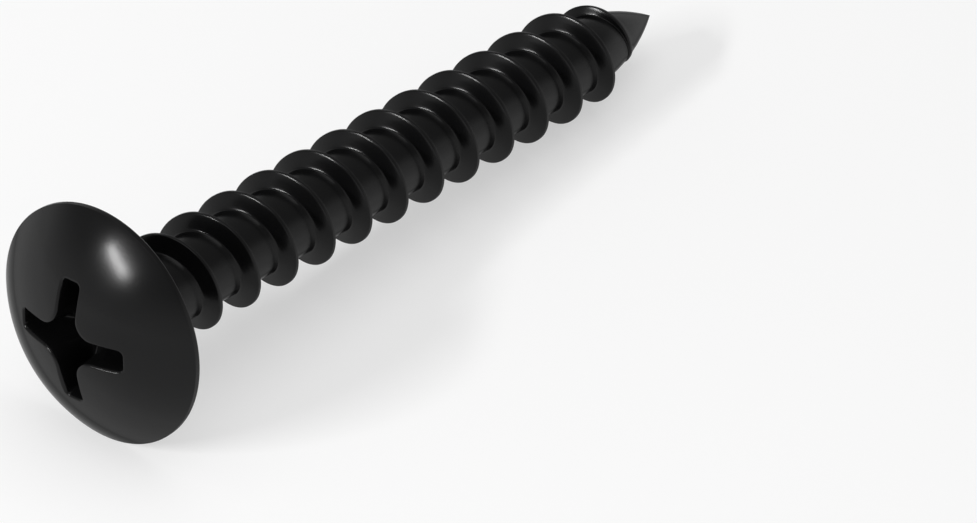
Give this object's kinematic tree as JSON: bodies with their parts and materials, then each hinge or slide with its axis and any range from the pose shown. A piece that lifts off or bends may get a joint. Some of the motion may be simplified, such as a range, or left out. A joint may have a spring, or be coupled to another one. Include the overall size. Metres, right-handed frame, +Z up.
{
  "type": "self-tapping screw",
  "caption": "Black self-tapping screw with a low truss head, a cross recess and a coarse thread that runs to a sharp point.",
  "frame": {"origin": "centre of the bounding box in plan, at the surface that the screw lies on", "axes": "+X from the head to the point along the lying screw, +Z up; the screw's own axis slopes down towards the point"},
  "size_m": [0.0338, 0.0096, 0.0095],
  "materials": {
    "black_coat": "smooth black phosphate and oil coat, semi-gloss"
  },
  "bodies": {
    "root": {"screw": "black_coat"}
  },
  "joints": []
}
